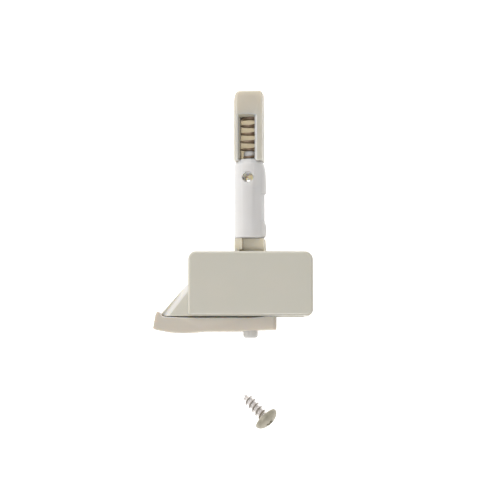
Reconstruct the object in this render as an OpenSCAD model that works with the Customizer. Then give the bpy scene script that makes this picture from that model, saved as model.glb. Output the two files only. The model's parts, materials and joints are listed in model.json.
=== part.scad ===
// Stair gate latch: a lift handle with a sprung wedge tongue, on an insert that is
// screwed into the gate's tube. The latch lies on its back: +Z is up, +Y runs along the
// insert to its spring end, and +X is to the right. The origin is the middle of the
// handle's flat back face. The insert's pieces are drawn about their own axis.

/* [Handle] */
// Width of the handle
handle_w = 47; // [46:0.5:48]
// Height of the handle, along the insert
handle_h = 24.3; // [24.2:0.1:25]
// Depth of the handle, front to back
handle_d = 18; // [18:0.5:19]
// Thickness of the handle's walls
wall = 2; // [1.8:0.1:2]
// Rounding of the handle's front edge
edge_r = 1; // [0.6:0.1:1.2]
// Corner radii of the handle: lower left, lower right, upper right, upper left
handle_corners = [1.3, 2.3, 3.3, 3];

/* [Insert] */
// Turn of the insert about its own axis, from its loose fit in the handle
insert_turn = 6.5; // [0:0.5:8]
// Distance of the insert's axis from the handle's middle
insert_x = -0.4; // [-0.5:0.1:0]
// Radius of the sleeve
sleeve_r = 5.85; // [5.7:0.05:5.9]
// Length of the sleeve
sleeve_l = 30; // [29.5:0.1:30.5]
// Radius over the ribs on the sleeve's side
barb_r = 6.5; // [6.3:0.05:6.6]
// Height of the neck that stands out of the handle
neck_h = 5.15; // [4.8:0.05:5.4]
// Gap between the neck and the sleeve
neck_gap = 0.15; // [0.1:0.05:0.5]
// Distance of the fixing screw's hole below the sleeve's top
screw_drop = 7; // [6.6:0.1:7.4]
// Width of the spring cage
cage_w = 11; // [10.9:0.1:11.2]
// Depth of the spring cage
cage_d = 9.4; // [9.4:0.1:9.8]
// Length of the spring cage beyond the sleeve
cage_l = 26; // [25.5:0.1:26.5]
// Length of the cage's window
window_l = 17; // [16.6:0.1:17.2]

/* [Springs] */
// Wire diameter of the main spring
main_wire = 0.9; // [0.7:0.1:0.9]
// Turns of the main spring
main_turns = 5.25; // [4:0.25:5.5]
// Wire diameter of the tongue's spring and the button's spring
light_wire = 0.5; // [0.4:0.1:0.6]

/* [Slide] */
// Travel of the tongue and its thumb plate
slide_travel = 9.5; // [8:0.1:9.5]
// How far the wedge stands out of the handle
wedge_out = 9.9; // [9.7:0.1:10]
// Radius of the button
button_r = 2.8; // [2.6:0.1:2.8]

/* [Fixing screw] */
// Outside diameter of the thread
thread_d = 4.2; // [4:0.1:4.2]
// Length under the head
screw_l = 12.8; // [12.5:0.1:13.5]
// Diameter of the head
head_d = 9.8; // [9.5:0.1:10]
// Height of the head
head_h = 2.9; // [2.5:0.1:3]

/* [Hidden] */
$fn = 64;
spring_steps = 20;                      // segments to one turn of a spring
wire_sides = 8;                         // sides of a spring's wire
half_w = handle_w / 2;
half_h = handle_h / 2;
axis_z = handle_d / 2;                  // height of the insert's axis over the back face
inner_top = half_h - wall;
front_z = handle_d - wall;              // inside of the handle's front wall
cover_t = 2;                            // thickness of the back cover
screw_r = 1.1;                          // radius of the small assembly screws
pilot_r = screw_r + 0.02;
cover_screw_at = [[-18, 6.6], [18, 6.6], [16, 1.2]];
stem_screw_at = [[-6, 5.4], [6, 5.4]];
boss_r = 2.4;

neck_top = half_h + neck_h;
neck_r = 5.75;
sleeve_bottom = neck_top + neck_gap;
sleeve_top = sleeve_bottom + sleeve_l;
screw_y = sleeve_top - screw_drop;
cage_top = sleeve_top + cage_l;
window_top = sleeve_top + window_l;
cage_x = [0.2 - cage_w, cage_w - 0.2] / 2 - [0.2, 0];  // the cage's left and right face
cage_skirt = sleeve_top - 0.7;          // foot of the cage's walls, round the sleeve's tapered top
cage_in_x = 4.65;                       // half width inside the cage
cage_in_z = cage_d / 2 - 1;             // half depth inside the cage
cage_in_top = window_top + 1.4;
prong_in = 3.35;                        // inner face of a prong, from the insert's axis
prong_out = 4.45;                       // outer face of a prong
prong_z = 1.7;                          // half depth of a prong
prong_gap = 0.2;
crotch_y = sleeve_bottom + 13.7;        // where the stem's bar splits into its two prongs
taper_w = 1.25;                         // taper at the sleeve's top: its width and its length
taper_l = 2.2;
core_x = 3.05;                          // half width of the cage's tail in the sleeve
core_z = 3.6;                           // half depth of the cage's tail
core_bottom = crotch_y + 1.5;
core_top = sleeve_top - 0.55;
notch_y = sleeve_top - 3;               // foot of the web that joins the tail to the cage's back wall
pocket_gap = 0.1;
seat_t = 0.8;
spring_phase = 234;                     // turn of the main spring's foot about its axis
spigot_r = 2.2;
spigot_top = sleeve_top + 3.25;
spring_foot = core_top + seat_t;
yoke_bottom = spring_foot + 16.1;
yoke_t = 1.6;
yoke_pin_r = 0.6;

slide_z = [2.3, 15.7];                  // back and front face of the sliding tongue
slide_bottom = -half_h - 0.1;
tongue_top = -0.3;
tongue_right = -13;
rail_top = -3.6;
rail_right = 9.9;
tip_r = 0.9;
tip = [-half_w - wedge_out + tip_r, slide_bottom + tip_r];
slope_top = [-half_w - 0.5, tongue_top];
plate_z = [2, 16];                      // back and front face of the thumb plate
plate_top = -12.85;
plate_right = 9.8;
button_x = 0;
button_tip = -20.3;
flange_y = -11.2;                       // underside of the button's flange
flange_t = 1.2;
flange_r = 3.75;
nose_r = 1.7;
nose_top = -3.4;
well_r = 3.95;
cap_y = -5.6;                           // underside of the button's cap
cap_t = 1;
cap_w = 9.6;
spring_bore_x = 5.2;
spring_bore_y = -8;
spring_bore_r = 2.4;
guide_r = 1.15;
slide_screw_at = [[-19, axis_z], [7.6, 4.4], [7.6, 13.6]];
slide_head_y = -8.5;                    // where the slide screws' heads sit
lock_x = [-3.2, 13.4];
lock_y = [-3.3, -2.5];

cream = [0.86, 0.84, 0.76];
pale_cream = [0.9, 0.88, 0.82];
rose_beige = [0.83, 0.78, 0.72];
white = [0.95, 0.95, 0.95];
steel = [0.62, 0.6, 0.57];

// ---- Shared shapes ----

// Box between two corners
module box(low, high) {
    translate(low) cube(high - low);
}

// Round bar along +Y, from y0 to y1
module bar_y(r, y0, y1, x = 0, z = 0) {
    translate([x, y0, z]) rotate([-90, 0, 0]) cylinder(r = r, h = y1 - y0);
}

// Round bar along +X, from x0 to x1
module bar_x(r, x0, x1, y = 0, z = 0) {
    translate([x0, y, z]) rotate([0, 90, 0]) cylinder(r = r, h = x1 - x0);
}

// Turns a profile, drawn as radius and length, about the Y axis
module turned() {
    rotate([-90, 0, 0]) rotate_extrude() children();
}

// Stands a piece that is drawn about the insert's axis in the latch
module on_insert() {
    translate([insert_x, 0, axis_z]) rotate([0, -insert_turn, 0]) children();
}

// Rectangle with its own radius at each corner, counted from the lower left one, anticlockwise
module rounded_rect(low, high, radii) {
    corners = [low, [high.x, low.y], high, [low.x, high.y]];
    inward = [[1, 1], [-1, 1], [-1, -1], [1, -1]];
    difference() {
        translate(low) square(high - low);
        for (i = [0:3]) {
            translate(corners[i] + inward[i] * radii[i] / 2) square(radii[i] + 0.001, center = true);
        }
    }
    for (i = [0:3]) {
        translate(corners[i] + inward[i] * radii[i]) circle(radii[i]);
    }
}

// The handle's outline as a slab from z = 0, with the edge at its top rounded
module handle_slab(depth, rounding) {
    corners = [[-half_w, -half_h], [half_w, -half_h], [half_w, half_h], [-half_w, half_h]];
    inward = [[1, 1], [-1, 1], [-1, -1], [1, -1]];
    hull() {
        for (i = [0:3]) {
            translate(corners[i] + inward[i] * handle_corners[i]) puck(handle_corners[i], depth, rounding);
        }
    }
}

// Short round post with the edge at its top rounded
module puck(r, depth, rounding) {
    rotate_extrude($fn = 40) {
        square([r - rounding, depth]);
        square([r, depth - rounding]);
        translate([r - rounding, depth - rounding]) intersection() {
            circle(rounding, $fn = 24);
            square(rounding);
        }
    }
}

// Coil spring along +Z from z = 0: a round wire swept along a helix, with closed end turns
module coil(mean_r, wire, length, turns, close = 0.75) {
    steps = round(turns * spring_steps);
    rise = length - wire;
    pitch = (rise - 2 * close * wire) / (turns - 2 * close);
    function height(t) = wire / 2 + (t < close ? t * wire
        : t > turns - close ? rise - (turns - t) * wire
        : close * wire + (t - close) * pitch);
    points = [
        for (i = [0:steps]) let (t = i * turns / steps, a = 360 * t)
            for (j = [0:wire_sides - 1]) let (b = 360 * j / wire_sides, r = mean_r + wire / 2 * cos(b))
                [r * cos(a), r * sin(a), height(t) + wire / 2 * sin(b)]
    ];
    sides = [
        for (i = [0:steps - 1]) for (j = [0:wire_sides - 1])
            let (k = (j + 1) % wire_sides, a = i * wire_sides, b = a + wire_sides)
                each [[a + j, b + j, b + k], [a + j, b + k, a + k]]
    ];
    start = [for (j = [1:wire_sides - 2]) [0, j, j + 1]];
    last = steps * wire_sides;
    end = [for (j = [1:wire_sides - 2]) [last, last + j + 1, last + j]];
    polyhedron(points, concat(sides, start, end), convexity = 10);
}

// Small pan head screw along -Z: the underside of its head is at z = 0
module small_screw(length, head_r = 1.8, head_t = 1.2) {
    difference() {
        cylinder(r = head_r, h = head_t, $fn = 32);
        translate([0, 0, head_t - 0.7]) cross_recess(head_r * 0.65, 1);
    }
    translate([0, 0, -length + 0.8]) cylinder(r = screw_r, h = length - 0.7, $fn = 32);
    translate([0, 0, -length]) cylinder(r1 = 0.4, r2 = screw_r, h = 0.8, $fn = 32);
}

// Cross recess cut down from a screw's head
module cross_recess(reach, depth) {
    for (a = [0, 90]) {
        rotate([0, 0, a]) translate([-reach, -reach / 4, 0]) cube([2 * reach, reach / 2, depth]);
    }
}

// ---- Handle ----

module front_shell() {
    color(cream) difference() {
        union() {
            difference() {
                translate([0, 0, cover_t]) handle_slab(handle_d - cover_t, edge_r);
                box([-half_w + wall, -inner_top, cover_t - 1], [half_w - wall, inner_top, front_z]);
                // The slide runs in the open underside and comes out through the left wall
                box([-half_w - 1, -half_h - 1, cover_t - 1],
                    [half_w - wall - 1.3, -inner_top + 1, front_z]);
                box([-half_w - 1, -half_h - 1, cover_t - 1], [-half_w + wall + 1, 0, front_z]);
                // The neck comes out through the top wall
                box([insert_x - 6.3, inner_top - 1, axis_z - 6],
                    [insert_x + 6.7, half_h + 1, axis_z + 6]);
            }
            for (at = cover_screw_at) {
                translate([at.x, at.y, cover_t]) cylinder(r = boss_r, h = front_z - cover_t + 0.5);
            }
            for (at = stem_screw_at) {
                translate([at.x, at.y, 12.5]) cylinder(r = boss_r, h = front_z - 12);
            }
            // Seat of the guide pin
            box([half_w - wall - 0.6, spring_bore_y - 2, cover_t],
                [half_w - wall + 0.5, spring_bore_y + 2, front_z + 0.5]);
        }
        for (at = cover_screw_at) {
            translate([at.x, at.y, cover_t - 1]) cylinder(r = pilot_r, h = 9);
        }
        for (at = stem_screw_at) {
            translate([at.x, at.y, 12]) cylinder(r = pilot_r, h = 4);
        }
        bar_x(guide_r + 0.02, half_w - wall - 2, half_w - 0.8, spring_bore_y, axis_z);
    }
}

module back_cover() {
    color(cream) difference() {
        translate([0, 0, cover_t]) mirror([0, 0, 1]) handle_slab(cover_t, 0.6);
        for (at = cover_screw_at) {
            translate([at.x, at.y, -1]) cylinder(r = screw_r + 0.15, h = 5);
            translate([at.x, at.y, -1]) cylinder(r = 2.1, h = 2.25);
        }
    }
}

module cover_screws() {
    color(steel) for (at = cover_screw_at) {
        translate([at.x, at.y, 1.25]) mirror([0, 0, 1]) small_screw(7);
    }
}

// Foot in the handle, neck, bar, and the two prongs that carry the yoke
module stem() {
    color(cream) {
        difference() {
            union() {
                box([-8.5, 0.6, 4.4], [8.5, inner_top - 0.1, 12.4]);
                on_insert() neck();
            }
            for (at = stem_screw_at) {
                translate([at.x, at.y, 4]) cylinder(r = screw_r + 0.15, h = 9);
                translate([at.x, at.y, 4]) cylinder(r = 2.1, h = 4);
            }
        }
        on_insert() difference() {
            union() {
                box([-prong_out, neck_top - 0.1, -prong_z], [prong_out, crotch_y, prong_z]);
                for (side = [-1, 1]) {
                    prong(side);
                }
            }
            bar_x(yoke_pin_r + 0.02, -6, 6, yoke_bottom + yoke_t / 2);
        }
    }
}

module prong(side) {
    inner = side > 0 ? prong_in : -prong_out;
    box([inner, crotch_y - 0.1, -prong_z],
        [inner + prong_out - prong_in, yoke_bottom + yoke_t, prong_z]);
}

// Round bar whose front is set back, except for its left side and a key rib beside that
module neck() {
    foot = half_h - 2.4;
    rib = [-3.3, -2.2];
    translate([0, 0, -4]) linear_extrude(7.7)
        polygon([[rib[0], foot], [6.3, foot], [5.75, neck_top], [rib[0], neck_top]]);
    intersection() {
        bar_y(neck_r, foot, neck_top);
        union() {
            box([-neck_r - 1, foot - 1, -5], [rib[0], neck_top + 1, neck_r + 1]);
            box([-neck_r - 1, half_h + 0.75, -5], [rib[1], neck_top + 1, neck_r + 1]);
        }
    }
}

module stem_screws() {
    color(steel) for (at = stem_screw_at) {
        translate([at.x, at.y, 8]) mirror([0, 0, 1]) small_screw(7.2);
    }
}

module spring_yoke() {
    color(cream) on_insert() difference() {
        box([-4.5, yoke_bottom, -2.9], [4.5, yoke_bottom + yoke_t, 2.9]);
        for (side = [-1, 1]) {
            box([side * 4 - 0.67, yoke_bottom - 1, -prong_z - 0.05],
                [side * 4 + 0.67, yoke_bottom + 3, prong_z + 0.05]);
        }
        bar_x(yoke_pin_r + 0.02, -6, 6, yoke_bottom + yoke_t / 2);
    }
}

module yoke_pin() {
    color(steel) on_insert() bar_x(yoke_pin_r, -4.4, 4.4, yoke_bottom + yoke_t / 2);
}

// Steel strip over the slide, whose slot lets the button's nose through
module lock_plate() {
    slot_r = nose_r + 0.2;
    color(steel) difference() {
        box([lock_x[0], lock_y[0], cover_t], [lock_x[1], lock_y[1], front_z]);
        bar_y(slot_r, -5, 0, button_x, axis_z);
        bar_y(slot_r, -5, 0, button_x + slide_travel, axis_z);
        box([button_x, -5, axis_z - slot_r], [button_x + slide_travel, 0, axis_z + slot_r]);
    }
}

module tongue_spring() {
    color(steel) translate([spring_bore_x, spring_bore_y, axis_z]) rotate([0, 90, 0])
        coil(1.85, light_wire, half_w - wall - 0.6 - spring_bore_x, 9);
}

module spring_guide_pin() {
    color(steel) bar_x(guide_r, 15.1, half_w - 0.9, spring_bore_y, axis_z);
}

// ---- Insert ----

module tube_sleeve() {
    color(white) on_insert() difference() {
        union() {
            turned() polygon([
                [0, sleeve_bottom], [sleeve_r - 0.3, sleeve_bottom], [sleeve_r, sleeve_bottom + 0.3],
                [sleeve_r, sleeve_top - taper_l], [sleeve_r - taper_w, sleeve_top], [0, sleeve_top]
            ]);
            sleeve_ribs();
        }
        box([-prong_out - prong_gap, 0, -prong_z - 0.15],
            [prong_out + prong_gap, 90, prong_z + 0.15]);
        box([-core_x - pocket_gap, core_bottom - 0.2, -core_z - pocket_gap],
            [core_x + pocket_gap, 90, core_z + pocket_gap]);
        box([-core_x - pocket_gap, notch_y - 0.1, -10], [core_x + pocket_gap, 90, 0]);
        translate([0, screw_y, 0]) cylinder(r = thread_d / 2, h = 10);
        // Drain hole, beside the screw's path
        translate([-1, screw_y - 2.2, -10]) cylinder(r = 1.9, h = 10);
    }
}

// Barb and collar: crescents that stand out of the sleeve's right side and blend into it
module sleeve_ribs() {
    crescent_r = 4.2;
    collar_r = 8;
    intersection() {
        turned() {
            polygon([
                [0, sleeve_top - 13.2], [barb_r + 1, sleeve_top - 13.2], [barb_r + 1, sleeve_top - 11.6],
                [barb_r + 0.1, sleeve_top - 11.6], [sleeve_r + 0.4, sleeve_top - 4.4],
                [sleeve_r - 0.15, sleeve_top - 2.2], [0, sleeve_top - 2.2]
            ]);
            intersection() {
                translate([barb_r + 0.1 - collar_r, sleeve_bottom + 3.2]) circle(collar_r, $fn = 200);
                translate([0, sleeve_bottom + 0.5]) square([10, 6]);
            }
        }
        bar_y(crescent_r, sleeve_bottom + 0.4, sleeve_top - 0.6, barb_r - crescent_r);
    }
}

// Box round the spring, open at its front window, with a tail that fits in the sleeve
module spring_cage() {
    color(cream) on_insert() difference() {
        union() {
            difference() {
                cage_block();
                box([-cage_in_x, 0, -cage_in_z], [cage_in_x, cage_in_top, cage_in_z]);
                turned() polygon([
                    [0, sleeve_top - taper_l], [sleeve_r, sleeve_top - taper_l],
                    [sleeve_r - taper_w, sleeve_top], [0, sleeve_top]
                ]);
                window();
                // Cored out from behind, above the spring
                box([-3.4, cage_in_top + 1.5, -10], [3.4, cage_top - 1.6, 2.4]);
            }
            box([-core_x, notch_y, -cage_d / 2], [core_x, sleeve_top + 0.5, -cage_in_z + 0.1]);
            box([-core_x, core_bottom, -core_z], [core_x, core_top, core_z]);
        }
        translate([0, screw_y, -10]) cylinder(r = 1.6, h = 20);
    }
}

// The cage's outside: the end's left corner is a long quarter ellipse, the right one is round
module cage_block() {
    half_d = cage_d / 2;
    left_corner = [2.2, 3.75];
    right_corner = 1.3;
    left_bevel = 1.2;
    right_bevel = 0.3;
    intersection() {
        translate([0, 0, -half_d]) linear_extrude(cage_d) polygon([
            [cage_x[0], cage_skirt],
            [cage_x[1], cage_skirt],
            for (a = [0:15:90])
                [cage_x[1] - right_corner * (1 - cos(a)), cage_top - right_corner * (1 - sin(a))],
            for (a = [90:-15:0])
                [cage_x[0] + left_corner.x * (1 - cos(a)), cage_top - left_corner.y * (1 - sin(a))]
        ]);
        translate([0, cage_top + 1, 0]) rotate([90, 0, 0]) linear_extrude(cage_l + 3)
            polygon([
                [cage_x[0] + 0.4, -half_d], [cage_x[1] - 0.4, -half_d], [cage_x[1], -half_d + 0.4],
                [cage_x[1], half_d - right_bevel], [cage_x[1] - right_bevel, half_d],
                [cage_x[0] + left_bevel, half_d], [cage_x[0], half_d - left_bevel],
                [cage_x[0], -half_d + 0.4]
            ]);
    }
}

// Opening in the cage's front, with its right edge bevelled
module window() {
    bevel = 1.2;
    translate([0, 0, cage_in_z - 0.1]) linear_extrude(3)
        rounded_rect([-3.75, 0], [3.5 - bevel, window_top], [0.2, 0.2, 0.8, 0.3]);
    translate([3.5 - bevel, sleeve_top - 1, cage_in_z]) rotate([0, 45, 0])
        translate([-3, 0, 0]) cube([3, window_l + 0.6, 3]);
}

module spring_seat() {
    color(white) on_insert() difference() {
        turned() {
            square([core_x - 0.05, core_top + seat_t]);
            square([spigot_r - 0.3, spigot_top]);
            square([spigot_r, spigot_top - 0.3]);
        }
        box([-9, -1, -9], [9, core_top, 9]);
    }
}

module main_spring() {
    color(steel) on_insert() translate([0, spring_foot, 0]) rotate([-90, spring_phase, 0])
        coil(2.75, main_wire, yoke_bottom - spring_foot, main_turns, 0.12);
}

// ---- Slide ----

// Wedge, tongue and the rail behind it, in one moulding
module latch_tongue() {
    slope = atan2(slope_top.y - tip.y, slope_top.x - tip.x);
    slope_bevel = 2.4;
    color(pale_cream) difference() {
        translate([0, 0, slide_z[0]]) linear_extrude(slide_z[1] - slide_z[0]) {
            polygon([
                slope_top, tip + tip_r * [cos(slope + 90), sin(slope + 90)], tip, [tip.x, slide_bottom],
                [rail_right, slide_bottom], [rail_right, rail_top],
                [tongue_right, rail_top], [tongue_right, tongue_top]
            ]);
            translate(tip) circle(tip_r);
        }
        for (z = slide_z) {
            translate([slope_top.x, slope_top.y, z]) rotate([0, 0, slope]) rotate([45, 0, 0])
                cube([60, slope_bevel, slope_bevel], center = true);
        }
        bar_y(button_r + 0.15, -20, 0, button_x, axis_z);
        bar_y(well_r, flange_y, 0, button_x, axis_z);
        box([button_x - cap_w / 2 - 0.05, cap_y, axis_z - cap_w / 2 - 0.05],
            [button_x + cap_w / 2 + 0.05, 0, axis_z + cap_w / 2 + 0.05]);
        bar_x(spring_bore_r, spring_bore_x, 20, spring_bore_y, axis_z);
        for (at = slide_screw_at) {
            bar_y(screw_r + 0.15, -20, 0, at.x, at.y);
            bar_y(2, slide_head_y, 1, at.x, at.y);
        }
    }
}

// Thumb plate under the handle: hollowed a little under the slide, with an upturned lip
// round the wedge's tip and a shallow belly for the thumb
module thumb_slide() {
    top_edge = [
        [plate_right, slide_bottom], [5.4, slide_bottom], [4.9, slide_bottom - 0.25], [1, plate_top + 0.05],
        [-9, plate_top], [-21, plate_top], [-28, plate_top + 0.15], [-31.2, slide_bottom - 0.25]
    ];
    lip = [
        [-32.2, -12.45], [-32.9, -12.3], [-33.35, -11.95], [-33.5, -11.4], [-33.9, -10.8], [-34.4, -10.5],
        [-35, -10.4], [-35.4, -10.7], [-35.75, -11.6], [-36.7, -16.9], [-36.3, -17.15], [-34.3, -17.55]
    ];
    belly = [for (x = [-31.5:2.1:-18.9]) [x, -18.05 - 0.5 * cos(90 * (x + 25.2) / 6.6)]];
    underside = [[-16, -17.95], [-4, -17.9], [3.1, -17.5], [plate_right, -17.2]];
    color(rose_beige) difference() {
        union() {
            // Land that the slide rests on
            box([-31.2, plate_top - 1, axis_z - 4], [plate_right, slide_bottom, axis_z + 4]);
            translate([0, 0, plate_z[0]]) linear_extrude(plate_z[1] - plate_z[0])
                polygon(concat(top_edge, lip, belly, underside));
        }
        translate([plate_right, 0, plate_z[1]]) rotate([0, 45, 0]) cube([1.5, 60, 1.5], center = true);
        bar_y(button_r + 0.15, -20, 0, button_x, axis_z);
        for (at = slide_screw_at) {
            bar_y(pilot_r, slide_bottom - 4, 0, at.x, at.y);
        }
    }
}

module slide_screws() {
    color(steel) for (at = slide_screw_at) {
        translate([at.x, slide_head_y, at.y]) rotate([-90, 0, 0]) small_screw(7.4);
    }
}

module button_cap() {
    color(white) difference() {
        box([button_x - cap_w / 2, cap_y, axis_z - cap_w / 2],
            [button_x + cap_w / 2, cap_y + cap_t, axis_z + cap_w / 2]);
        bar_y(nose_r + 0.2, cap_y - 1, cap_y + 2, button_x, axis_z);
    }
}

module button_spring() {
    color(steel) translate([button_x, flange_y + flange_t, axis_z]) rotate([-90, 0, 0])
        coil(3.1, light_wire, cap_y - flange_y - flange_t, 3.5, 0.5);
}

// Round push button: rounded end, flange that holds it in, and nose that reaches the lock plate
module lock_button() {
    color(white) translate([button_x, 0, axis_z]) turned() {
        translate([0, button_tip + 1]) square([button_r, flange_y - button_tip]);
        translate([0, button_tip]) square([button_r - 1, 2]);
        translate([button_r - 1, button_tip + 1]) circle(1);
        translate([0, flange_y]) square([flange_r, flange_t]);
        translate([0, flange_y]) square([nose_r, nose_top - flange_y - 0.3]);
        translate([0, flange_y]) square([nose_r - 0.3, nose_top - flange_y]);
    }
}

// ---- Fixing screw ----

// Self-tapping screw that lies beside the latch, on the rim of its head and the end of its thread
module fixing_screw() {
    lean = atan2(head_d / 2 - 1.63, 10.7);
    spot = [5.6, -50.5, head_d / 2 * cos(lean)];
    color(steel) translate(spot) rotate([0, 0, 133]) rotate([0, 90 + lean, 0])
        difference() {
            union() {
                rotate([180, 0, 0]) screw_head();
                screw_thread();
            }
            translate([0, 0, 1.5 - head_h]) rotate([0, 0, 35]) mirror([0, 0, 1]) cross_recess(2.1, 3);
        }
}

// Domed head over a thin rim, from z = 0 up
module screw_head() {
    dome = [for (a = [0:6:84]) [head_d / 2 * cos(a), 0.4 + (head_h - 0.4) * sin(a)]];
    rotate_extrude() polygon(concat([[0, 0], [head_d / 2 - 0.2, 0]], dome, [[0, head_h]]));
}

// Tapered core with sharp ridges at the thread's pitch, down to a point
module screw_thread() {
    pitch = 1.9;
    core_r = 1.5;
    taper = 3.6;
    function core_at(z) = core_r * min(1, (screw_l - z) / taper);
    function crest_at(z) = thread_d / 2 * min(1, (screw_l - z + 0.5) / taper);
    ridges = floor((screw_l - 1.4) / pitch);
    profile = [
        for (i = [0:ridges - 1]) let (z = 1.2 + i * pitch)
            each [[core_at(z - 0.35), z - 0.35], [crest_at(z), z], [core_at(z + 0.35), z + 0.35]]
    ];
    foot = [[0, -0.5], [core_r, -0.5]];
    tip = [[core_r * 0.3, screw_l - 1], [0, screw_l]];
    rotate_extrude() polygon(concat(foot, profile, tip));
}

front_shell();
back_cover();
cover_screws();
stem();
stem_screws();
spring_yoke();
yoke_pin();
lock_plate();
tongue_spring();
spring_guide_pin();
tube_sleeve();
spring_cage();
spring_seat();
main_spring();
latch_tongue();
thumb_slide();
slide_screws();
button_cap();
button_spring();
lock_button();
fixing_screw();
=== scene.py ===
import json
import math

import bmesh
import bpy
from mathutils import Matrix, Vector


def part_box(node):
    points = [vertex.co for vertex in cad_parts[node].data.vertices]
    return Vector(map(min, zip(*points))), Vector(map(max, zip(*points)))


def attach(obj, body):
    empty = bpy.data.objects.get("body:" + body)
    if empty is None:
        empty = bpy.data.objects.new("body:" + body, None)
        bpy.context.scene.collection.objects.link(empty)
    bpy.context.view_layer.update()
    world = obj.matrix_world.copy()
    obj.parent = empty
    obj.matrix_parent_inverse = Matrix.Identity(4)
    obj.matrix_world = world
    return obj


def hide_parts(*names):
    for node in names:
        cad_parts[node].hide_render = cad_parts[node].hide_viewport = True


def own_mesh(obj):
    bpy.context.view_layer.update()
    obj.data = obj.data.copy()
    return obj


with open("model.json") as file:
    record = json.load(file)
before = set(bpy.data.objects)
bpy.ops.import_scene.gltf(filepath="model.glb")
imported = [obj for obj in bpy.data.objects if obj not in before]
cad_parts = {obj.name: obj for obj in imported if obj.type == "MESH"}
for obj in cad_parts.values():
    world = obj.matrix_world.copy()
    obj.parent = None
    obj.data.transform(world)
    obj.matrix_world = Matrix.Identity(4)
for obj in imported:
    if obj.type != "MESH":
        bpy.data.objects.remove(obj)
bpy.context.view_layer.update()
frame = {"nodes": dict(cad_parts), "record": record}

MM = 0.001
BODY_OF = {n: b for b, nodes in frame["record"]["behaviour"]["bodies"].items() for n in nodes}
SLOT_OF = {s["node"]: s["material_slot"] for s in frame["record"]["subparts"]}

# The insert stands on this axis, turned a little about it; everything on it is placed in its own frame, in mm
INSERT_TURN = math.radians(6.5)
INSERT_AT = Vector((-0.4, 0.0, 9.0)) * MM
ON_INSERT = Matrix.Translation(INSERT_AT) @ Matrix.Rotation(-INSERT_TURN, 4, "Y")
SCREW_Y = 40.45  # height of the fixing screw's hole on the insert
ALONG_Y = Matrix.Rotation(math.radians(-90), 4, "X")


# ---------------------------------------------------------------- materials
def node_material(name):
    mat = bpy.data.materials.new(name)
    mat.use_nodes = True
    nodes, links = mat.node_tree.nodes, mat.node_tree.links
    nodes.clear()
    out = nodes.new("ShaderNodeOutputMaterial")
    shader = nodes.new("ShaderNodeBsdfPrincipled")
    links.new(shader.outputs["BSDF"], out.inputs["Surface"])
    coords = nodes.new("ShaderNodeTexCoord")
    return mat, nodes, links, shader, coords.outputs["Object"]


def noise(nodes, links, coords, scale, detail=4.0, rough=0.55, stretch=None):
    tex = nodes.new("ShaderNodeTexNoise")
    tex.inputs["Scale"].default_value = scale
    tex.inputs["Detail"].default_value = detail
    tex.inputs["Roughness"].default_value = rough
    if stretch:
        mapping = nodes.new("ShaderNodeMapping")
        mapping.inputs["Scale"].default_value = stretch
        links.new(coords, mapping.inputs["Vector"])
        coords = mapping.outputs["Vector"]
    links.new(coords, tex.inputs["Vector"])
    return tex.outputs["Fac"]


def remap(nodes, links, value, low, high, to_low, to_high):
    node = nodes.new("ShaderNodeMapRange")
    for key, number in (("From Min", low), ("From Max", high), ("To Min", to_low), ("To Max", to_high)):
        node.inputs[key].default_value = number
    links.new(value, node.inputs["Value"])
    return node.outputs["Result"]


def mixed(nodes, links, fac, a, b):
    """Mixes two colours, each a socket or an RGB tuple, by the socket fac."""
    node = nodes.new("ShaderNodeMix")
    node.data_type = "RGBA"
    for socket, value in ((node.inputs["Factor"], fac), (node.inputs[6], a), (node.inputs[7], b)):
        if isinstance(value, bpy.types.NodeSocket):
            links.new(value, socket)
        else:
            socket.default_value = (*value, 1.0)
    return node.outputs[2]


def bumped(nodes, links, shader, layers):
    normal = None
    for height, strength, distance in layers:
        bump = nodes.new("ShaderNodeBump")
        bump.inputs["Strength"].default_value = strength
        bump.inputs["Distance"].default_value = distance
        links.new(height, bump.inputs["Height"])
        if normal is not None:
            links.new(normal, bump.inputs["Normal"])
        normal = bump.outputs["Normal"]
    links.new(normal, shader.inputs["Normal"])


def plastic(name, color, tint, roughness, grain=0.05, subsurface=0.12, depth=0.6, specular=0.4,
            spread=(1.0, 0.85, 0.6), painted_edge_highlight=0.35):
    """Moulded plastic: soft mottling, faint flow lines, a fine spark-eroded grain, and sharp edges painted
    lighter as a painted highlight.

    depth is how far light spreads in it, in millimetres, and painted_edge_highlight how strongly the sharp
    edges are painted lighter as a painted highlight.
    """
    mat, nodes, links, shader, at = node_material(name)
    cloud = noise(nodes, links, at, 70.0, 3.0)
    speck = noise(nodes, links, at, 2600.0, 2.0)
    flow = noise(nodes, links, at, 240.0, 4.0, 0.6, stretch=(0.35, 1.0, 1.0))
    base = mixed(nodes, links, remap(nodes, links, cloud, 0.32, 0.68, 0.0, 1.0), color, tint)
    base = mixed(nodes, links, remap(nodes, links, speck, 0.3, 0.7, 0.0, 0.05), base,
                 tuple(c * 0.8 for c in color))
    # Painted highlight: sharp edges, found by their pointiness, are painted lighter in place of the light they
    # catch.
    geometry = nodes.new("ShaderNodeNewGeometry")
    edge = remap(nodes, links, geometry.outputs["Pointiness"], 0.51, 0.58, 0.0, painted_edge_highlight)
    base = mixed(nodes, links, edge, base, tuple(min(1.0, c * 1.35) for c in color))
    links.new(base, shader.inputs["Base Color"])
    links.new(remap(nodes, links, flow, 0.3, 0.7, roughness - 0.02, roughness + 0.03),
              shader.inputs["Roughness"])
    shader.inputs["Specular IOR Level"].default_value = specular
    shader.inputs["Subsurface Weight"].default_value = subsurface
    shader.inputs["Subsurface Radius"].default_value = spread
    shader.inputs["Subsurface Scale"].default_value = depth * MM
    bumped(nodes, links, shader, [(flow, 0.015, 0.0002), (speck, grain, 0.00008)])
    return mat


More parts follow.
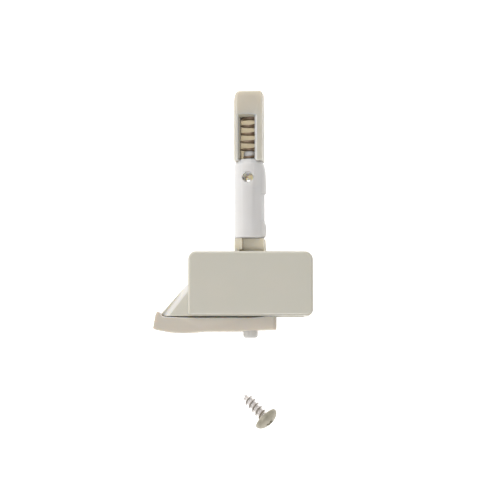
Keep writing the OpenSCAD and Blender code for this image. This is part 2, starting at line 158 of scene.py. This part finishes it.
def metal(name, color, dark, roughness, scale=900.0, stretch=(1.0, 1.0, 1.0), metallic=1.0, grain=0.12):
    """Wire and plated steel: drawn lines, dull patches, and darker skin in places."""
    mat, nodes, links, shader, at = node_material(name)
    patch = noise(nodes, links, at, scale * 0.4, 3.0)
    line = noise(nodes, links, at, scale, 5.0, 0.65, stretch=stretch)
    fine = noise(nodes, links, at, scale * 5, 2.0)
    base = mixed(nodes, links, remap(nodes, links, patch, 0.35, 0.65, 0.0, 1.0), color, dark)
    links.new(base, shader.inputs["Base Color"])
    links.new(remap(nodes, links, line, 0.3, 0.7, roughness - 0.08, roughness + 0.1),
              shader.inputs["Roughness"])
    shader.inputs["Metallic"].default_value = metallic
    bumped(nodes, links, shader, [(line, grain, 0.0001), (fine, grain * 0.5, 0.00004)])
    return mat


CREAM = plastic("cream_abs_skin", (0.57, 0.55, 0.475), (0.59, 0.56, 0.485), 0.3, subsurface=0.3, depth=1.5,
                specular=0.6, painted_edge_highlight=0.8)
CREAM_CAGE = plastic("cream_cage_skin", (0.54, 0.505, 0.435), (0.57, 0.53, 0.45), 0.45, subsurface=1.0,
                     depth=4.5, spread=(1.0, 0.92, 0.8))
CREAM_STEM = plastic("cream_stem_skin", (0.54, 0.495, 0.39), (0.57, 0.515, 0.405), 0.45, subsurface=0.8,
                     depth=3.0)
PALE = plastic("pale_cream_skin", (0.57, 0.55, 0.48), (0.59, 0.57, 0.495), 0.35, subsurface=0.5, depth=2.0,
               painted_edge_highlight=0.8)
WHITE = plastic("white_acetal_skin", (0.67, 0.655, 0.64), (0.69, 0.675, 0.66), 0.42, grain=0.03, subsurface=0.8,
                depth=2.5, spread=(1.0, 0.95, 0.88))
ROSE = plastic("rose_beige_skin", (0.56, 0.515, 0.445), (0.58, 0.53, 0.455), 0.45, subsurface=0.6, depth=2.5,
               spread=(1.0, 0.75, 0.5))
# Painted highlight: a paler cream, given to two bevels in place of the light they catch.
PAINTED_HIGHLIGHT_CREAM = plastic("painted_highlight_cream_skin", (0.71, 0.69, 0.655), (0.74, 0.72, 0.685), 0.35, subsurface=0.6,
                     depth=2.0)
# Painted light: a pale cream, given to hollows in place of the light that fills them.
PAINTED_LIGHT_HOLLOWS = plastic("painted_light_hollow_skin", (0.90, 0.845, 0.755), (0.92, 0.865, 0.78), 0.5, subsurface=1.0, depth=5.0)
BUTTON = plastic("button_skin", (0.63, 0.61, 0.58), (0.65, 0.635, 0.605), 0.38, grain=0.03)
WIRE = metal("spring_wire_skin", (0.36, 0.28, 0.21), (0.16, 0.11, 0.07), 0.36, 700.0, (1.0, 0.15, 1.0),
             metallic=0.6)
STEEL = metal("plated_steel_skin", (0.62, 0.60, 0.57), (0.45, 0.43, 0.40), 0.3, 600.0)
SCREW_SHANK = metal("screw_shank_skin", (0.80, 0.76, 0.74), (0.62, 0.58, 0.55), 0.35, 900.0, metallic=0.5)
# Painted shade: a darker steel, given to the thread's crests in place of the shade on them.
SCREW_CREST_PAINTED_SHADE = metal("screw_crest_painted_shade_skin", (0.42, 0.38, 0.34), (0.27, 0.24, 0.21), 0.42, 900.0,
                    metallic=0.5)
SCREW_HEAD = metal("screw_head_skin", (0.47, 0.43, 0.335), (0.37, 0.34, 0.265), 0.5, 1100.0, metallic=0.2,
                   grain=0.3)

MATERIAL_OF = {
    "cream_abs": CREAM, "pale_cream_acetal": PALE, "white_acetal": WHITE, "rose_beige_abs": ROSE,
    "button_plastic": BUTTON, "spring_steel": WIRE, "plated_steel": STEEL,
}


# ---------------------------------------------------------------- building helpers
def new_piece(name, mesh, material, node):
    obj = bpy.data.objects.new(name, mesh)
    bpy.context.scene.collection.objects.link(obj)
    mesh.materials.clear()
    mesh.materials.append(material)
    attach(obj, BODY_OF[node])
    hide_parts(node)
    return obj


def mesh_of(name, verts, faces):
    mesh = bpy.data.meshes.new(name)
    mesh.from_pydata([tuple(v) for v in verts], [], faces)
    bm = bmesh.new()
    bm.from_mesh(mesh)
    bmesh.ops.remove_doubles(bm, verts=bm.verts, dist=1e-7)
    bmesh.ops.dissolve_degenerate(bm, edges=bm.edges, dist=1e-8)
    bmesh.ops.recalc_face_normals(bm, faces=bm.faces)
    bm.to_mesh(mesh)
    bm.free()
    mesh.shade_smooth()
    return mesh


def moulding(node, width, material=None, soft=None):
    """A copy of a CAD node as a clean moulding: flats joined into single faces, and every sharp edge rounded.

    soft is (test, width): edges that pass the test are rounded first, with that larger width.
    """
    mesh = frame["nodes"][node].data.copy()
    mesh.name = node + "_moulding"
    bm = bmesh.new()
    bm.from_mesh(mesh)
    bmesh.ops.remove_doubles(bm, verts=bm.verts, dist=2e-6)
    bmesh.ops.dissolve_limit(bm, angle_limit=math.radians(0.5), verts=bm.verts, edges=bm.edges)
    if soft:
        chosen, soft_width = soft
        wide = [e for e in bm.edges
                if len(e.link_faces) == 2 and chosen(e) and e.calc_face_angle() > math.radians(20)]
        bmesh.ops.bevel(bm, geom=wide, offset=soft_width * MM, offset_type="OFFSET", segments=6, profile=0.5,
                        affect="EDGES", clamp_overlap=True, loop_slide=True)
    edges = [e for e in bm.edges if len(e.link_faces) == 2 and e.calc_face_angle() > math.radians(30)]
    bmesh.ops.bevel(bm, geom=edges, offset=width * MM, offset_type="OFFSET", segments=3, profile=0.5,
                    affect="EDGES", clamp_overlap=False, loop_slide=True)
    bmesh.ops.remove_doubles(bm, verts=bm.verts, dist=1e-6)
    bm.to_mesh(mesh)
    bm.free()
    if mesh.has_custom_normals:
        mesh.attributes.remove(mesh.attributes["custom_normal"])
    mesh.shade_smooth()
    obj = new_piece(node + "_moulding", mesh, material or MATERIAL_OF[SLOT_OF[node]], node)
    mesh.set_sharp_from_angle(angle=math.radians(40))
    weighted = obj.modifiers.new("weighted", "WEIGHTED_NORMAL")
    weighted.keep_sharp = True
    return obj


def repaint(obj, material, chosen, place=Matrix.Identity(4)):
    """Gives another material to the faces that chosen(at, facing) picks.

    at is the face's centre in millimetres and facing its normal, both in the frame of place.
    """
    obj.data.materials.append(material)
    index = len(obj.data.materials) - 1
    back = place.inverted()
    for face in obj.data.polygons:
        if chosen(back @ face.center / MM, back.to_3x3() @ face.normal):
            face.material_index = index


def helix_mesh(name, mean_r, wire, length, turns, close, place, steps=40, sides=12, step_at=None):
    """Round wire along a helix from z = 0, as the CAD spring, with more segments and rounded ends.

    With step_at, each turn lies nearly flat and makes most of its rise on the side where the angle is step_at.
    """
    total = round(turns * steps)
    rise = length - wire
    pitch = (rise - 2 * close * wire) / (turns - 2 * close)

    def height(t):
        if t < close:
            return wire / 2 + t * wire
        if t > turns - close:
            return wire / 2 + rise - (turns - t) * wire
        return wire / 2 + close * wire + (t - close) * pitch

    rings = [(i, 1.0) for i in range(total + 1)]
    rings = [(0, 0.45), (0, 0.8)] + rings + [(total, 0.8), (total, 0.45)]
    verts, faces = [], []
    for n, (i, swell) in enumerate(rings):
        t = i * turns / total
        lead = (wire / 2) * math.sqrt(max(0.0, 1 - swell * swell)) / (2 * math.pi * mean_r)
        t += lead * (-1 if n < 2 else 1)
        a = 2 * math.pi * t
        for j in range(sides):
            b = 2 * math.pi * j / sides
            r = mean_r + wire / 2 * swell * math.cos(b)
            z = height(min(max(t, 0.0), turns)) + wire / 2 * swell * math.sin(b)
            if step_at is not None:
                # The height swings about the even helix, and the swing fades out over the last 0.6 turn
                u = a - step_at
                swing = 1.6 * math.sin(u) + 0.3 * math.sin(2 * u) - math.sin(u) ** 3 / 7.5 + 1.467
                fade = max(0.0, min(1.0, t / 0.6, (turns - t) / 0.6))
                z += fade * 1.35 * swing * pitch / (2 * math.pi)
            verts.append(place @ (Vector((r * math.cos(a), r * math.sin(a), z)) * MM))
    count = len(rings)
    for i in range(count - 1):
        for j in range(sides):
            k = (j + 1) % sides
            faces.append((i * sides + j, i * sides + k, (i + 1) * sides + k, (i + 1) * sides + j))
    faces.append(tuple(range(sides)))
    faces.append(tuple((count - 1) * sides + j for j in range(sides)))
    return mesh_of(name, verts, faces)


def revolve_mesh(name, profile, place, steps=96):
    """Turns (radius, z) points about z, in millimetres."""
    verts, faces = [], []
    for i in range(steps):
        a = 2 * math.pi * i / steps
        for r, z in profile:
            verts.append(place @ (Vector((r * math.cos(a), r * math.sin(a), z)) * MM))
    n = len(profile)
    for i in range(steps):
        for j in range(n - 1):
            k = (i + 1) % steps
            faces.append((i * n + j, k * n + j, k * n + j + 1, i * n + j + 1))
    return mesh_of(name, verts, faces)


# ---------------------------------------------------------------- mouldings
def in_screw_hole(at, facing):
    """True for the wall of the screw's hole, in the sleeve and in the cage's tail."""
    return math.hypot(at.x, at.y - SCREW_Y) < 2.2 and abs(at.z) < 5.5


def inside_sleeve(at, facing):
    """True for the faces that look inwards, at the insert's axis."""
    return math.hypot(at.x, at.z) < 5.3 and facing.x * at.x + facing.z * at.z < -1.5


def in_window(at, facing):
    """True for the left and the top wall of the cage's window."""
    left = -4.0 < at.x < -0.5 and facing.x > 0.5
    top = abs(at.x) < 3.5 and at.y > 58 and facing.y < -0.5
    return left or top


def on_window_edge(at, facing):
    """True for the bevel along the right side of the cage's window."""
    return 0.5 < at.x < 4.0 and facing.x < -0.2 and facing.z > 0.2


def on_slope_bevel(at, facing):
    """True for the bevel along the wedge's slope."""
    return facing.x < -0.15 and facing.y > 0.15 and facing.z > 0.12


def on_slope(edge):
    """True for the long upper edge that runs up the wedge's slope."""
    way = edge.verts[1].co - edge.verts[0].co
    if edge.verts[0].co.z < tongue_top - 0.5 * MM:
        return False
    return way.length > 8 * MM and abs(way.z) < 0.1 * MM and min(abs(way.x), abs(way.y)) > 2 * MM


def in_gap(at, facing):
    """True for the faces of the slide inside the gap below the block."""
    return facing.y > 0.7 or (facing.z > 0.7 and at.z < 16.5 and at.y > -13)


moulding("front_shell", 0.22)
moulding("back_cover", 0.2)
moulding("stem", 0.18, material=CREAM_STEM)
moulding("spring_yoke", 0.15, material=CREAM_STEM)
cage = moulding("spring_cage", 0.22, material=CREAM_CAGE)
sleeve = moulding("tube_sleeve", 0.16)
moulding("spring_seat", 0.12)
tongue_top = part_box("latch_tongue")[1].z
tongue = moulding("latch_tongue", 0.25, soft=(on_slope, 0.8))
thumb = moulding("thumb_slide", 0.22)
moulding("button_cap", 0.1)
moulding("lock_button", 0.15)

# Painted light: hollows that the lamps barely reach (the screw's hole, the window's walls, the inside of the
# sleeve, the slide's faces in the gap below the block) are painted paler, in place of the light that fills them
repaint(cage, PAINTED_LIGHT_HOLLOWS, lambda at, facing: in_screw_hole(at, facing) or in_window(at, facing), ON_INSERT)
# Painted highlight: the bevel along the window's right side is painted paler.
repaint(cage, PAINTED_HIGHLIGHT_CREAM, on_window_edge, ON_INSERT)
repaint(sleeve, PAINTED_LIGHT_HOLLOWS, lambda at, facing: in_screw_hole(at, facing) or inside_sleeve(at, facing), ON_INSERT)
# Painted highlight: the bevel along the wedge's slope is painted paler.
repaint(tongue, PAINTED_HIGHLIGHT_CREAM, on_slope_bevel)
repaint(thumb, PAINTED_LIGHT_HOLLOWS, in_gap)

for plain in ("cover_screws", "stem_screws", "slide_screws", "lock_plate", "yoke_pin", "spring_guide_pin"):
    node_obj = frame["nodes"][plain]
    node_obj.data.materials.clear()
    node_obj.data.materials.append(MATERIAL_OF[SLOT_OF[plain]])

# ---------------------------------------------------------------- springs
SEAT_Y, YOKE_Y = 47.7, 63.8
main_place = (ON_INSERT @ Matrix.Translation(Vector((0, SEAT_Y, 0)) * MM)
              @ Matrix.Rotation(math.radians(234), 4, "Y") @ ALONG_Y)
main_mesh = helix_mesh("main_spring_wire", 2.85, 0.9, YOKE_Y - SEAT_Y, 5.25, 0.12, main_place,
                       step_at=math.radians(126))
main_spring = new_piece("main_spring_wire", main_mesh, WIRE, "main_spring")
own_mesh(main_spring)

low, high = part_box("tongue_spring")
tongue_len = (high.x - low.x) / MM
tongue_place = Matrix.Translation(Vector((low.x, -8 * MM, 9 * MM))) @ Matrix.Rotation(math.radians(90), 4, "Y")
tongue_mesh = helix_mesh("tongue_spring_wire", 1.85, 0.5, tongue_len, 9, 0.75, tongue_place, 32, 10)
tongue_spring = new_piece("tongue_spring_wire", tongue_mesh, WIRE, "tongue_spring")
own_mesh(tongue_spring)

low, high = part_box("button_spring")
button_len = (high.y - low.y) / MM
button_place = Matrix.Translation(Vector((0, low.y, 9 * MM))) @ ALONG_Y
button_mesh = helix_mesh("button_spring_wire", 3.1, 0.5, button_len, 3.5, 0.5, button_place, 40, 10)
button_spring = new_piece("button_spring_wire", button_mesh, WIRE, "button_spring")
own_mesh(button_spring)

# ---------------------------------------------------------------- fixing screw
HEAD_R, HEAD_H = 4.9, 2.9
RIM_R = HEAD_R - 0.01  # keeps the facets of the rim inside the CAD's box
SCREW_L, PITCH, CORE_R, CREST_R = 12.8, 1.9, 1.5, 2.1
TAPER = 3.6  # length of the point
CREST_HALF = 0.56  # half of the ridge's width at its foot
lean = math.atan2(HEAD_R - 1.63, 10.7)
screw_place = (Matrix.Translation(Vector((5.6, -50.5, HEAD_R * math.cos(lean))) * MM)
               @ Matrix.Rotation(math.radians(133), 4, "Z") @ Matrix.Rotation(math.pi / 2 + lean, 4, "Y"))


def screw_shank_mesh():
    """Thread cut as one spiral strip: each row follows the helix, so that its crest stays sharp."""
    around, across = 40, 14
    turns = int(SCREW_L / PITCH) + 2
    crest = [max(0.0, 1 - abs(k / across - 0.5) * PITCH / CREST_HALF) for k in range(across)]
    verts, faces = [], []
    total = turns * around
    for s in range(total + around + 1):
        for k in range(across):
            z = PITCH * (s / around + k / across) - PITCH
            a = 2 * math.pi * s / around
            z = min(max(z, 0.0), SCREW_L)
            body = min(1.0, (SCREW_L - z) / TAPER)
            ridge = CREST_R * min(1.0, (SCREW_L - z + 0.45) / TAPER)
            near_head = min(1.0, max(0.0, (z - 0.5) / 0.8))
            near_tip = min(1.0, max(0.0, (SCREW_L - z) / 1.2))
            core = CORE_R * (1 - (1 - body) ** 1.25)
            r = core + max(0.0, ridge - core) * crest[k] * near_head * near_tip
            verts.append(screw_place @ (Vector((r * math.cos(a), r * math.sin(a), z)) * MM))
    for s in range(total):
        for k in range(across):
            upper = k + 1
            right = (s + 1) * across + k
            above = s * across + upper if upper < across else (s + around) * across
            cross = (s + 1) * across + upper if upper < across else (s + 1 + around) * across
            faces.append((s * across + k, right, cross, above))
    return mesh_of("fixing_screw_shank", verts, faces)


def carved(mesh, cutters):
    """Cuts the cutters out of a mesh, one after another, and gives the finished mesh."""
    body = bpy.data.objects.new("carved", mesh)
    bpy.context.scene.collection.objects.link(body)
    tools = []
    for cutter in cutters:
        tool = bpy.data.objects.new("cutter", cutter)
        bpy.context.scene.collection.objects.link(tool)
        cut = body.modifiers.new("cut", "BOOLEAN")
        cut.operation, cut.solver, cut.object = "DIFFERENCE", "EXACT", tool
        tools.append(tool)
    bpy.context.view_layer.update()
    evaluated = body.evaluated_get(bpy.context.evaluated_depsgraph_get())
    result = bpy.data.meshes.new_from_object(evaluated)
    for done in tools + [body]:
        bpy.data.objects.remove(done)
    return result


def recess_wing(turn):
    """One arm of the cross recess: a flat wedge that narrows towards its foot, in millimetres."""
    low, high = (1.15, 0.42, -1.3), (2.5, 0.66, -4.2)
    corners = ((-1, -1), (1, -1), (1, 1), (-1, 1))
    verts = [turn @ Vector((x * w, y * t, z)) for w, t, z in (low, high) for x, y in corners]
    faces = [(0, 1, 2, 3), (4, 5, 6, 7), (0, 1, 5, 4), (1, 2, 6, 5), (2, 3, 7, 6), (3, 0, 4, 7)]
    return mesh_of("wing", verts, faces)


FLANGE_T = 0.4  # straight part of the rim below the dome
dome = [(RIM_R * math.cos(math.radians(a)), -FLANGE_T - (HEAD_H - FLANGE_T) * math.sin(math.radians(a)))
        for a in range(0, 90, 5)]
underside = [(0.0, 0.0), (RIM_R - 0.25, 0.0), (RIM_R - 0.07, -0.08), (RIM_R, -0.25)]
head_profile = underside + dome + [(0.0, -HEAD_H)]
in_mm = Matrix.Scale(1 / MM, 4)
head_mesh = carved(revolve_mesh("screw_head", head_profile, in_mm),
                   [recess_wing(Matrix.Rotation(math.radians(a), 3, "Z")) for a in (35, 125)])
head_mesh.transform(screw_place @ Matrix.Scale(MM, 4))
new_piece("fixing_screw_head", head_mesh, SCREW_HEAD, "fixing_screw")
head_mesh.shade_smooth()
head_mesh.set_sharp_from_angle(angle=math.radians(35))
shank = new_piece("fixing_screw_shank", screw_shank_mesh(), SCREW_SHANK, "fixing_screw")
shank.data.set_sharp_from_angle(angle=math.radians(50))
# Painted shade: the crests of the thread are painted darker than the core
repaint(shank, SCREW_CREST_PAINTED_SHADE, lambda at, facing: math.hypot(at.x, at.y) > 1.75, screw_place)


# ---------------------------------------------------------------- stage
def floor_piece():
    size = 3.0
    corners = [(-size, -size, 0), (size, -size, 0), (size, size, 0), (-size, size, 0)]
    mesh = mesh_of("floor", corners, [(0, 1, 2, 3)])
    obj = bpy.data.objects.new("floor", mesh)
    bpy.context.scene.collection.objects.link(obj)
    mat, nodes, links, shader, at = node_material("floor_paper")
    base = mixed(nodes, links, noise(nodes, links, at, 8.0, 3.0), (0.93, 0.93, 0.93), (0.95, 0.95, 0.95))
    links.new(base, shader.inputs["Base Color"])
    shader.inputs["Roughness"].default_value = 0.9
    shader.inputs["Specular IOR Level"].default_value = 0.1
    shader.inputs["Emission Color"].default_value = (1.0, 1.0, 1.0, 1.0)
    shader.inputs["Emission Strength"].default_value = 0.8
    mesh.materials.append(mat)


def area_light(name, at, size, power, color=(1, 1, 1)):
    data = bpy.data.lights.new(name, "AREA")
    data.shape = "DISK"
    data.size = size
    data.energy = power
    data.color = color
    obj = bpy.data.objects.new(name, data)
    obj.location = at
    obj.rotation_mode = "QUATERNION"
    obj.rotation_quaternion = (LIT_POINT - Vector(at)).to_track_quat("-Z", "Y")
    bpy.context.scene.collection.objects.link(obj)


LIT_POINT = Vector((0, 0.02, 0))
floor_piece()
area_light("left", (-0.9, 0.15, 0.45), 0.8, 3.05, (1.0, 0.99, 0.98))
area_light("back", (-0.2, 0.85, 0.5), 0.8, 4.0)
area_light("top", (0.0, -0.5, 1.3), 0.6, 8.3)
world = bpy.data.worlds.new("studio")
world.use_nodes = True
world.node_tree.nodes["Background"].inputs["Color"].default_value = (1.0, 1.0, 1.0, 1.0)
world.node_tree.nodes["Background"].inputs["Strength"].default_value = 0.26
scene = bpy.context.scene
scene.world = world
scene.view_settings.view_transform = "Standard"
scene.view_settings.look = "None"

camera_data = bpy.data.cameras.new("camera")
camera = bpy.data.objects.new("camera", camera_data)
scene.collection.objects.link(camera)
target = Vector((-0.2, 12.46, 18.0)) * MM
tilt, distance = math.radians(86), 0.7
half_field = 93.75 * MM  # half of the picture's width at the target
camera.location = target + Vector((0, -math.cos(tilt), math.sin(tilt))) * distance
camera.rotation_mode = "QUATERNION"
camera.rotation_quaternion = Matrix.Rotation(math.pi / 2 - tilt, 3, "X").to_quaternion()
camera_data.sensor_width = 36.0
camera_data.lens = 18.0 * distance / half_field
camera_data.clip_start, camera_data.clip_end = 0.05, 20.0
scene.camera = camera
